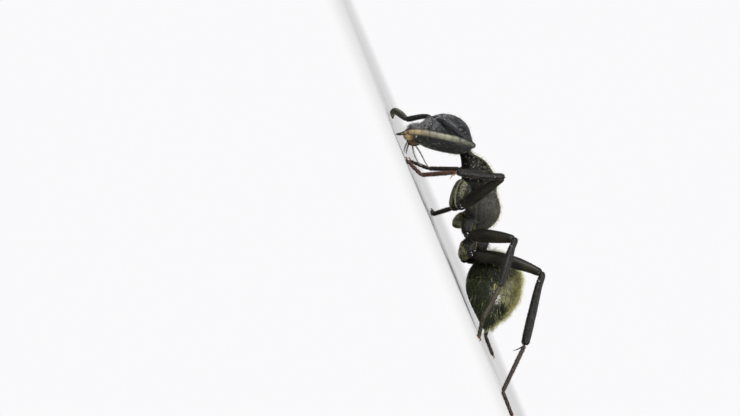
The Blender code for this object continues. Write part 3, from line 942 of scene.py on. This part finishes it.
def make_mouthparts(head):
    """Lip, maxillae and the long jointed palps under the head."""
    shapes = []
    for x, back, front, up, r in LIP_PARTS:
        path = [head.on_axes(x, back, up), head.on_axes(x, (back + front) / 2, up - 0.05)]
        path.append(head.on_axes(x * 0.8, front, up + 0.02))
        shapes.append(limb(path, (r * 0.7, r, r * 0.8), 18, 16))
    lip = [head.on_axes(x, 0.04, -0.16) for x in (-0.26, 0.0, 0.26)]
    shapes.append(limb(lip, (0.05, 0.07, 0.05), 16, 12))
    new_piece("mouthparts", joined(shapes), "mouth_shell", "mandible")
    palps = [Limb(route, PALP_RADII, shape=segmented(len(route) + 1)) for route in PALP_ROUTES]
    new_piece("palps", joined([skin(palp, limb_rings(60), 10) for palp in palps]), "palp_shell", "mandible")


def make_feeler(side):
    """The smooth scape with its ball at the head, and the beaded lash."""
    route, name = FEELERS[side], f"antenna_{side}_"
    scape = Limb(route["scape"], SCAPE_RADII)
    lash_route = (route["scape"][-1], *route["lash"])
    lash = Limb(lash_route, LASH_RADII, shape=segmented(LASH_BEADS, dip=0.12, flare=0.12))
    start, way = scape.line[0], scape.ways[0]
    ball = limb((start - way * 0.10, start + way * 0.06), (0.10, 0.10), 12, 16)
    shape = joined([skin(scape, limb_rings(48), 20), ball])
    new_piece(name + "shaft", shape, "scape_shell", "cuticle", name + "scape")
    make_lash_material(side)
    shape = skin(lash, limb_rings(150), 16)
    new_piece(name + "lash", shape, f"lash_{side}_shell", "feeler", name + "flagellum")
    coat(name + "shaft_down", "dark_down", "cuticle", hairs(scape, 900, 0.050, 0.0045, 18, 11))
    coat(name + "lash_down", "lash_down", "feeler", hairs(lash, 900, 0.036, 0.0040, 24, 12))


def off_eyes(at):
    """Where the head's hair grows: not on the eyes."""
    return np.where((np.abs(at.out) > 0.6) & (eye_reach(at.along, at.up) < 1.1), 0.0, 1.0)


def upright(at):
    """Where long hairs stand on the head: at the mouth and the nape."""
    ends = hump(at.along, 0.25, 0.25) * 2.5 + 0.5 * hump(at.along, 2.4, 0.4) + 0.25
    return off_eyes(at) * ends * np.where(at.sine > -0.6, 1, 0.6)


def throat(at):
    """Where the olive hair grows: under the head, its dark green a painted shade and green reflection there.
    """
    return step_up(-at.sine, 0.1, 0.5) + 0.01


def face(at):
    """Where the silvery hair grows: over the face, and on the gula under the head."""
    gula = 0.30 * hump(at.along, 1.05, 0.35) * step_up(-at.sine, 0.35, 0.70)
    return off_eyes(at) * step_up(at.sine, -0.1, 0.4) * step_up(-at.along, -1.9, -1.0) + gula + 0.03


def make_head():
    """The head with its eyes, jaws, feelers, mouthparts and hair, which lies forward."""
    head = Loft(HEAD_OUTLINE, HEAD_MOUTH, HEAD_PITCH, squareness=2.35, waist=0.42, relief=head_relief)
    make_jaw_material(head)
    new_piece("head_shell", skin(head, np.linspace(0, 1, 130)[1:-1], 132), "head_shell", "cuticle", "head")
    for side, sign in (("left", 1), ("right", -1)):
        make_eye(side, sign, head)
        make_mandible(side, sign, head)
        make_feeler(side)
    make_mouthparts(head)
    coat("head_down", "dark_down", "cuticle",
         hairs(head, 5200, 0.060, 0.004, 12, 21, off_eyes, turn=pi),
         hairs(head, 200, 0.20, 0.006, 60, 22, upright, turn=pi))
    coat("throat_hair", "olive_hair_painted_shade", "cuticle", hairs(head, 1500, 0.085, 0.0055, 26, 24, throat, turn=pi))
    coat("face_hair", "silver_hair", "cuticle", hairs(head, 3300, 0.052, 0.0068, 28, 23, face, turn=pi))


# ---- the middle body and the waist ----
FRONT_SEAM = dict(lean=-0.16)
BACK_SEAM = dict(lean=0.10, low=-0.6, high=0.8)
BREATHING_HOLES = ((2.02, 0.60, 0.055), (2.98, 0.36, 0.065))  # along, up, radius
BODY_PLATES = (  # node, shell, front edge, back edge and lift at each
    # the pronotum's shell is darker, a painted shade, and carries painted glints
    ("pronotum", "pronotum_shell", slanted(0.02), slanted(1.46, **FRONT_SEAM), -0.02, 0.020),
    ("mesothorax", "velvet_shell", slanted(1.36, **FRONT_SEAM), slanted(2.05, **BACK_SEAM), -0.03, 0.012),
    ("propodeum", "velvet_shell", slanted(1.94, **BACK_SEAM), slanted(BODY_LENGTH - 0.01), -0.035, 0.0),
)


def body_relief(out, along, up, sine):
    """Sutures, breathing holes and the gland's bulge on the sides of the middle body."""
    x = np.abs(out)
    flank = step_up(x, 0.25, 0.42)
    front = step_up(along, 1.45, 1.6) * step_up(-along, -2.2, -2.0)
    back = step_up(along, 2.15, 2.3) * step_up(-along, -3.4, -3.2)
    d = -0.035 * flank * hump(up, 0.62 - 0.9 * (along - 1.5), 0.035) * front
    d = d - 0.030 * flank * hump(up, 0.20 - 0.22 * (along - 2.2), 0.030) * back
    d = d + 0.045 * flank * hump(along, 3.22, 0.20) * hump(up, -0.12, 0.16)
    for spot, height, size in BREATHING_HOLES:
        reach = np.sqrt((along - spot) ** 2 + (up - height) ** 2) / size
        d = d + flank * (0.018 * hump(reach, 1.0, 0.35) - 0.045 * hump(reach, 0.0, 0.55))
    return d


def along_back(at):
    """Where long hairs stand: along the upper side."""
    return 0.03 + step_up(at.sine, 0.45, 0.95)


def velvet(at):
    """Where the down is thick: on the upper side behind the pronotum."""
    return 0.15 + step_up(at.along, 1.6, 2.4) * step_up(at.sine, -0.4, 0.5)


def collar(at):
    """Where the pronotum glitters: on its upper side, most of all in front."""
    return step_up(-at.along, -1.5, -0.9) * step_up(at.sine, -0.5, 0.2)


def make_body():
    """The three plates of the middle body and the waist's scale, with their down."""
    body = Loft(BODY_OUTLINE, BODY_FRONT, BODY_PITCH, squareness=2.4, relief=body_relief)
    for node, shell, front, back, low, high in BODY_PLATES:
        new_piece(node + "_plate", plate(body, front, back, 70, 110, low, high), shell, "cuticle", node)
    coat("body_down", "dark_down", "cuticle", hairs(body, 10500, 0.070, 0.0040, 13, 31, velvet))
    sparks = hairs(body, 260, 0.045, 0.0220, 58, 35, collar, spread=1.0)
    coat("collar_hair", "glittering_hair", "cuticle", sparks)
    coat("body_long_hair", "pale_golden_hair", "cuticle", hairs(body, 800, 0.21, 0.0050, 56, 32, along_back))

    petiole = Loft(PETIOLE_OUTLINE, PETIOLE_FRONT, PETIOLE_PITCH, squareness=2.2)
    shape = skin(petiole, np.linspace(0, 1, 50)[1:-1], 64)
    new_piece("petiole_scale", shape, "black_shell", "cuticle", "petiole")
    coat("petiole_down", "dark_down", "cuticle",
         hairs(petiole, 500, 0.10, 0.006, 18, 33),
         hairs(petiole, 110, 0.22, 0.007, 60, 34, along_back))


# ---- the hind body ----
PLATE_OVERLAP = 0.10
TUCKED = (-0.01, -0.045, -0.045, -0.045)  # how deep each plate's front lies


def gaster_relief(out, along, up, sine):
    """The side seam between back and belly plates."""
    seam = step_up(np.abs(out), 0.3, 0.6)
    return -0.030 * seam * hump(sine, -0.30, 0.05)


def thin_end(at):
    """How the coat thins towards the tip, least of all along the top."""
    return 1 - step_up(at.along, 1.75, 2.20) * (0.35 + 0.60 * step_up(-at.sine, -0.98, -0.74))


def golden(at):
    """Where the golden hair grows: in clumps on the upper side."""
    crown = 0.22 * step_up(at.sine, -0.05, 0.20) + 0.78 * step_up(at.sine, 0.35, 0.90)
    clumps = 0.08 + 0.92 * step_up(ripple(at.point, 0.065, 46), -0.15, 0.25)
    return crown * (0.10 + 0.90 * step_up(at.along, 0.7, 1.5)) * thin_end(at) * clumps + 0.0008


def belly(at):
    """Where the olive hair grows: mostly on the sides and below, where its dark green paints shade and a
    green reflection.
    """
    return (1 - 0.9 * step_up(at.sine, -0.15, 0.45)) * (0.6 + 0.4 * step_up(at.along, 0.4, 1.2))


def in_rows(at):
    """Where long hairs stand: on the upper side, most of them before each plate's end."""
    rows = sum(hump(at.along, cut - 0.10, 0.12) for cut in GASTER_CUTS[1:])
    return (0.4 + 1.5 * rows) * (0.008 + step_up(at.sine, 0.1, 0.7)) * thin_end(at)


def make_gaster():
    """The four plates of the hind body, each over the front of the next, and its coat."""
    outline = inside(GASTER_OUTLINE, GASTER_COAT, GASTER_TIP_COAT)
    gaster = Loft(outline, GASTER_FRONT, GASTER_PITCH, squareness=2.05, relief=gaster_relief)
    for i, (start, end, tuck) in enumerate(zip(GASTER_CUTS, GASTER_CUTS[1:], TUCKED), 1):
        gap, raised = (0.01, 0.0) if end == GASTER_CUTS[-1] else (0.0, 0.012)
        front, back = slanted(max(start - PLATE_OVERLAP, 0.01)), slanted(end - gap)
        shape = plate(gaster, front, back, 56, 120, tuck, raised, rim=0.06)
        # the first plate takes the darker collar shell: painted shade on the hind body's front
        shell = "gaster_shell" if i > 1 else "shaded_collar_shell"
        new_piece(f"gaster_plate_{i}", shape, shell, "golden_coat", f"gaster_{i}")
    coat("gaster_coat_back", "golden_hair", "golden_coat",
         hairs(gaster, 1000, 0.20, 0.0090, 42, 41, golden, tufts=3),
         hairs(gaster, 2300, 0.19, 0.0080, 40, 44, golden),
         hairs(gaster, 500, 0.34, 0.0055, 56, 47, in_rows))
    coat("gaster_coat_belly", "olive_hair_painted_shade", "golden_coat",
         hairs(gaster, 9000, 0.13, 0.0058, 18, 42, belly, tufts=4),
         hairs(gaster, 1600, 0.12, 0.0060, 20, 45, golden))
    coat("gaster_long_hair", "pale_golden_hair", "golden_coat",
         hairs(gaster, 1700, 0.33, 0.0062, 52, 43, in_rows))


# ---- the legs ----
FEMUR_FLATNESS = 0.86
TIBIA_FLATNESS = 0.88
THIGH_NECK = 0.16  # from the trochanter to where the femur starts
HEEL_DROP = 0.11  # of the first tarsal segment's end under the ball of the foot
SPUR_RADII = (0.030, 0.024, 0.006)
FOOT_SHELLS = {("fore", "left"): "foot_shell", ("mid", "left"): "olive_foot_shell"}
FOOT_HAIRS = {("fore", "left"): "red_bristle"}
BEAD_STARTS = (0.72, 0.72, 0.72, 0.6)  # the tarsal beads' thickness at their starts
OUTWARD = {"left": 1, "right": -1}
FIRST_HALF, SECOND_HALF = (0, 0, 0.5, 1), (0.5, 0, 0.5, 1)  # of a leg's unwrap


def leg_joints(pair, side):
    """Hip, trochanter, knee, ankle, ball of the foot and toe, each a segment's length from the last."""
    leg = LEGS[pair, side]
    joints = [np.array(leg["hip"]), np.array(leg["trochanter"])]
    for place, length, lean in zip(leg["side"], LEG_LENGTHS[pair], leg["lean"]):
        x, *last = joints[-1]
        flat = sqrt((place[0] - last[0]) ** 2 + (place[1] - last[1]) ** 2)
        x += OUTWARD[side] * lean * sqrt(max(length**2 - flat**2, 0.0))
        joints.append(np.array((x, *place)))
    return joints


class Leg:
    """One leg: its names, joints and directions, and the limbs that its shells and hair lie on."""

    def __init__(self, pair, side):
        self.pair, self.side = pair, side
        self.name, self.node = f"{pair}_{side}_", f"leg_{pair}_{side}_"
        hip, trochanter, knee, ankle, ball, toe = leg_joints(pair, side)
        self.hip, self.trochanter, self.knee, self.ankle = hip, trochanter, knee, ankle
        self.thigh_way, self.shin_way = unit(knee - trochanter), unit(ankle - knee)
        self.coxa = Limb([hip + (trochanter - hip) * u for u in (0, 0.35, 0.7, 1)], COXA_RADII[pair])
        neck = self.neck = trochanter + self.thigh_way * THIGH_NECK
        bow = np.array((0, 0, FEMUR_BOW[pair]))
        thigh = [neck + (knee - neck) * u + bow * sin(pi * u) for u in (0, 0.25, 0.5, 0.75, 1)]
        self.femur = Limb(thigh, FEMUR_RADII[pair], FEMUR_FLATNESS)
        shin = [knee - self.thigh_way * 0.07, knee + self.thigh_way * 0.035 + self.shin_way * 0.07]
        shin += [knee + (ankle - knee) * u for u in (0.2, 0.5, 0.75, 1)]
        self.tibia = Limb(shin, TIBIA_RADII[pair], TIBIA_FLATNESS)
        r = TARSUS_RADIUS[pair]
        heel = np.array((ball[0], ball[1], max(ball[2] - HEEL_DROP, FOOT_RADIUS + 0.01)))
        self.toe = np.array((toe[0], toe[1], FOOT_RADIUS))
        self.sole = self.toe - heel
        self.stations = [heel + self.sole * share for share in (0.0, *np.cumsum(TARSOMERES))]
        self.first_segment = Limb((ankle, (ankle + heel) / 2, heel), (r * 0.85, r, r * 0.95, r * 0.95))
        self.foot = Limb(self.stations, (r * 0.75, r * 0.75))


def make_leg_shells(leg):
    """The shells of coxa, femur and tibia, with the shining joints between them."""
    coxa_shell = "fore_coxa_shell" if leg.pair == "fore" else "black_shell"
    for part, surface, rings, sides, shell, slot in (
        ("coxa", leg.coxa, 34, 30, coxa_shell, "golden_coat"),
        ("femur", leg.femur, 52, 28, "thigh_shell", "cuticle"),
        ("tibia", leg.tibia, 52, 26, "leg_shell", "cuticle"),
    ):
        shape = skin(surface, limb_rings(rings), sides)
        new_piece(f"{leg.name}{part}_shell", shape, shell, slot, leg.node + part)
    start = leg.trochanter - unit(leg.trochanter - leg.hip) * 0.06
    bead = (start, leg.trochanter + leg.thigh_way * 0.06, leg.neck + leg.thigh_way * 0.10)
    fold = unit(leg.shin_way - leg.thigh_way)
    outward = OUT * OUTWARD[leg.side] * (TIBIA_RADII[leg.pair][1] * 0.70)
    hinge = leg.knee + leg.shin_way * 0.30 + fold * 0.06 + outward
    condyle = (hinge - leg.shin_way * 0.08, hinge + leg.shin_way * 0.08)
    shape = joined([limb(bead, (0.13, 0.155, 0.12), 18, 22), limb(condyle, (0.085, 0.085), 14, 14)])
    new_piece(leg.name + "joints", shape, "joint_shell", "cuticle")


def make_spur(leg):
    """The thorn at the tibia's end."""
    way = unit(np.array(SPUR_WAY[leg.pair]))
    root = leg.ankle - way * 0.02
    tip = root + way * SPUR_LENGTH[leg.pair]
    bend = (root + tip) / 2 + leg.shin_way * 0.03
    shell = "spur_shell" if leg.pair == "fore" else "dark_foot_shell"
    new_piece(leg.name + "spur", limb((root, bend, tip), SPUR_RADII, 16, 10), shell, "tarsus")


def make_tarsus(leg):
    """The long first segment and the beads after it."""
    r = TARSUS_RADIUS[leg.pair]
    beads = [skin(leg.first_segment, limb_rings(30), 16)]
    for k, (a, b, thin) in enumerate(zip(leg.stations, leg.stations[1:], BEAD_STARTS)):
        radii = (r * thin, r * 0.82, r * (0.92 - 0.05 * k))
        beads.append(limb((a - (b - a) * 0.06, (a + b) / 2, b), radii, 14, 14))
    shell = FOOT_SHELLS.get((leg.pair, leg.side), "dark_foot_shell")
    new_piece(leg.name + "tarsus_beads", joined(beads), shell, "tarsus", leg.node + "tarsus")


def make_claws(leg):
    """Two hooked claws and the pad between them."""
    way = unit(leg.sole * np.array((1, 1, 0)))
    across = np.cross(way, (0, 0, 1))
    shapes = []
    for turn in (-1, 1):
        base = leg.toe + across * turn * 0.02
        middle = base + way * 0.09 + across * turn * 0.07 + np.array((0, 0, 0.02))
        end = base + way * 0.15 + across * turn * 0.085 - np.array((0, 0, 0.055))
        shapes.append(limb((base, middle, end), SPUR_RADII, 14, 10))
    pad = (leg.toe - way * 0.02, leg.toe + way * 0.08 - np.array((0, 0, 0.02)))
    shapes.append(limb(pad, (0.035, 0.032), 12, 12))
    new_piece(leg.name + "claws", joined(shapes), "claw_shell", "tarsus")


def glittering(at):
    """Where a front coxa glitters: in a patch on its sides and along its front."""
    patch = hump(-at.sine, 0.02, 0.30) * step_up(at.s, 0.08, 0.20) * step_up(-at.s, -0.80, -0.55)
    return patch + 0.9 * step_up(-at.sine, 0.62, 0.85) + 0.02


def fringe(at):
    """Where the fringes of the other near coxae grow: along their front and back."""
    return step_up(np.abs(at.sine), 0.70, 0.92) + 0.03


def coxa_hair(leg, seed):
    """The coxa's own hair: glittering in front, fringed on the near side, thick on the far one."""
    coxa = leg.coxa
    if leg.pair == "fore":
        return (hairs(coxa, 1500, 0.034, 0.0160, 60, seed, glittering, spread=1.3),
                hairs(coxa, 160, 0.08, 0.0050, 24, seed + 8, glittering, sway=0.6))
    if leg.side == "right":
        return (hairs(coxa, 1500, 0.08, 0.0095, 30, seed, sway=0.6, tufts=3),)
    count, length, where = (60, 0.22, fringe) if leg.pair == "mid" else (260, 0.11, None)
    return (hairs(coxa, 90, 0.07, 0.0085, 34, seed, fringe, sway=0.6),
            hairs(coxa, count, length, 0.0060, 30, seed + 8, where, sway=0.6))


def make_leg_hair(leg, seed):
    """The coxa's coat, short down with glints on femur and tibia, and bristles on tibia and foot."""
    name, femur, tibia = leg.name, leg.femur, leg.tibia
    own = "glittering_hair" if leg.pair == "fore" else "pale_golden_hair"
    bristle = FOOT_HAIRS.get((leg.pair, leg.side), "dark_bristle")
    coat(name + "coxa_coat", own, "golden_coat", *coxa_hair(leg, seed))
    # olive down on the coxa, its dark green partly painted shade and green reflection
    coat(name + "coxa_down", "olive_hair_painted_shade", "golden_coat",
         hairs(leg.coxa, COXA_HAIRS[leg.pair], 0.07, 0.0045, 20, seed + 9, sway=0.6))
    coat(name + "leg_down", "sooty_down", "cuticle",
         hairs(femur, 1300, 0.055, 0.0038, 14, seed + 1, cell=FIRST_HALF),
         hairs(tibia, 1500, 0.055, 0.0038, 18, seed + 2, cell=SECOND_HALF))
    coat(name + "leg_glints", "dark_down", "cuticle",
         hairs(femur, 160, 0.055, 0.0060, 18, seed + 6, cell=FIRST_HALF),
         hairs(tibia, 420, 0.060, 0.0065, 24, seed + 7, cell=SECOND_HALF))
    coat(name + "foot_bristles", bristle, "tarsus",
         hairs(leg.first_segment, 420, 0.08, 0.006, 26, seed + 3, cell=(0, 0, 0.5, 0.6)),
         hairs(leg.foot, 320, 0.07, 0.006, 28, seed + 4, cell=(0.5, 0, 0.5, 0.6)),
         hairs(tibia, 50, 0.13, 0.009, 32, seed + 5, cell=(0, 0.6, 1, 0.4)))


def make_legs():
    """Six legs, each with its spur, tarsal beads, claws and hair."""
    for number, (pair, side) in enumerate(LEGS):
        leg = Leg(pair, side)
        make_leg_shells(leg)
        make_spur(leg)
        make_tarsus(leg)
        make_claws(leg)
        make_leg_hair(leg, 100 + 10 * number)


# ---- the setting ----
FRAME_WIDTH = 29.6
SENSOR_WIDTH = 36.0
CAMERA_DISTANCE = 150.0
CAMERA_RISE = 2.0
CAMERA_ROLL = 67.33
VIEW_CENTRE = (0.0, 1.18, -2.05)
LIT_CENTRE = (0, 0, 1.2)
LIGHTS = {  # place in millimetres from the row's origin, width and power
    "key_light": ((52, -80, 36), 60, 0.095),
    "top_light": ((30, 22, 95), 60, 0.060),
    "front_light": ((106, 30, 30), 20, 0.034),
    "flash_light": ((92, 64, 28), 14, 0.066),
}
WHITE = (0.955, 0.948, 0.962, 1)
ROOM_LIGHT = 0.13
FLOOR_RADIUS = 3.0  # metres
FLOOR_FADE = (0.012, 0.035)  # metres from the ant, where the floor turns into the room
FLOOR_SEEN = 0.72
FLOOR_GIVES = 0.18


def add_camera():
    """A long lens at the ant's left side, a little above the floor, turned as the ant is on its leaf."""
    rise, roll = radians(CAMERA_RISE), radians(CAMERA_ROLL)
    back = Vector((cos(rise), 0, sin(rise)))
    level = Vector((0, 1, 0))
    upright = back.cross(level)
    right = level * cos(roll) + upright * sin(roll)
    up = upright * cos(roll) - level * sin(roll)
    data = bpy.data.cameras.new("camera")
    data.sensor_width = SENSOR_WIDTH
    data.lens = SENSOR_WIDTH * CAMERA_DISTANCE / FRAME_WIDTH
    data.clip_start = 0.01
    data.clip_end = 20.0
    camera = add_object("camera", data)
    place = Vector(placed(VIEW_CENTRE)) + back * CAMERA_DISTANCE * MM
    camera.matrix_world = Matrix.Translation(place) @ Matrix((right, up, back)).transposed().to_4x4()
    bpy.context.scene.camera = camera


def add_lights():
    """Square soft lights that face the ant."""
    for name, (place, width, power) in LIGHTS.items():
        data = bpy.data.lights.new(name, "AREA")
        data.size = width * MM
        data.energy = power
        lamp = add_object(name, data)
        lamp.location = Vector(place) * MM
        lamp.rotation_euler = (Vector(LIT_CENTRE) * MM - lamp.location).to_track_quat("-Z", "Y").to_euler()


def seen_or_given(tree, given, seen):
    """One value where the surroundings are seen, and another where they light the ant."""
    path = tree.nodes.new("ShaderNodeLightPath")
    share = tree.nodes.new("ShaderNodeMapRange")
    share.inputs["To Min"].default_value = given
    share.inputs["To Max"].default_value = seen
    tree.links.new(path.outputs["Is Camera Ray"], share.inputs["Value"])
    return share.outputs["Result"]


def add_floor():
    """A wide pale floor whose far part fades into the colour of the surroundings."""
    bm = bmesh.new()
    bmesh.ops.create_circle(bm, cap_ends=True, segments=64, radius=FLOOR_RADIUS)
    mesh = bpy.data.meshes.new("floor")
    bm.to_mesh(mesh)
    bm.free()
    n = Nodes("pale_floor")
    n.surface(seen_or_given(n.tree, FLOOR_GIVES, FLOOR_SEEN), 0.9, None, 0.1)
    glow = n.add("Emission", {"Color": WHITE})
    n.join(seen_or_given(n.tree, ROOM_LIGHT, 1.0), glow.inputs["Strength"])
    length = n.add("VectorMath", operation="LENGTH")
    n.join(n.where(), length.inputs[0])
    mix = n.add("MixShader")
    n.join(n.spread(length.outputs["Value"], FLOOR_FADE, shape="SMOOTHSTEP"), mix.inputs["Fac"])
    n.join(n.shader.outputs["BSDF"], mix.inputs[1])
    n.join(glow.outputs["Emission"], mix.inputs[2])
    n.join(mix.outputs["Shader"], n.tree.nodes["Material Output"].inputs["Surface"])
    mesh.materials.append(n.material)
    floor = add_object("floor", mesh)


def add_world():
    """A pale room all round."""
    world = bpy.data.worlds.new("pale_room")
    world.use_nodes = True
    sky = world.node_tree.nodes["Background"]
    sky.inputs["Color"].default_value = WHITE
    world.node_tree.links.new(seen_or_given(world.node_tree, ROOM_LIGHT, 1.0), sky.inputs["Strength"])
    bpy.context.scene.world = world
    bpy.context.scene.view_settings.view_transform = "Standard"


def main():
    """The whole ant in its setting."""
    add_camera()
    add_world()
    add_floor()
    add_lights()
    make_materials()
    make_head()
    make_body()
    make_gaster()
    make_legs()


main()
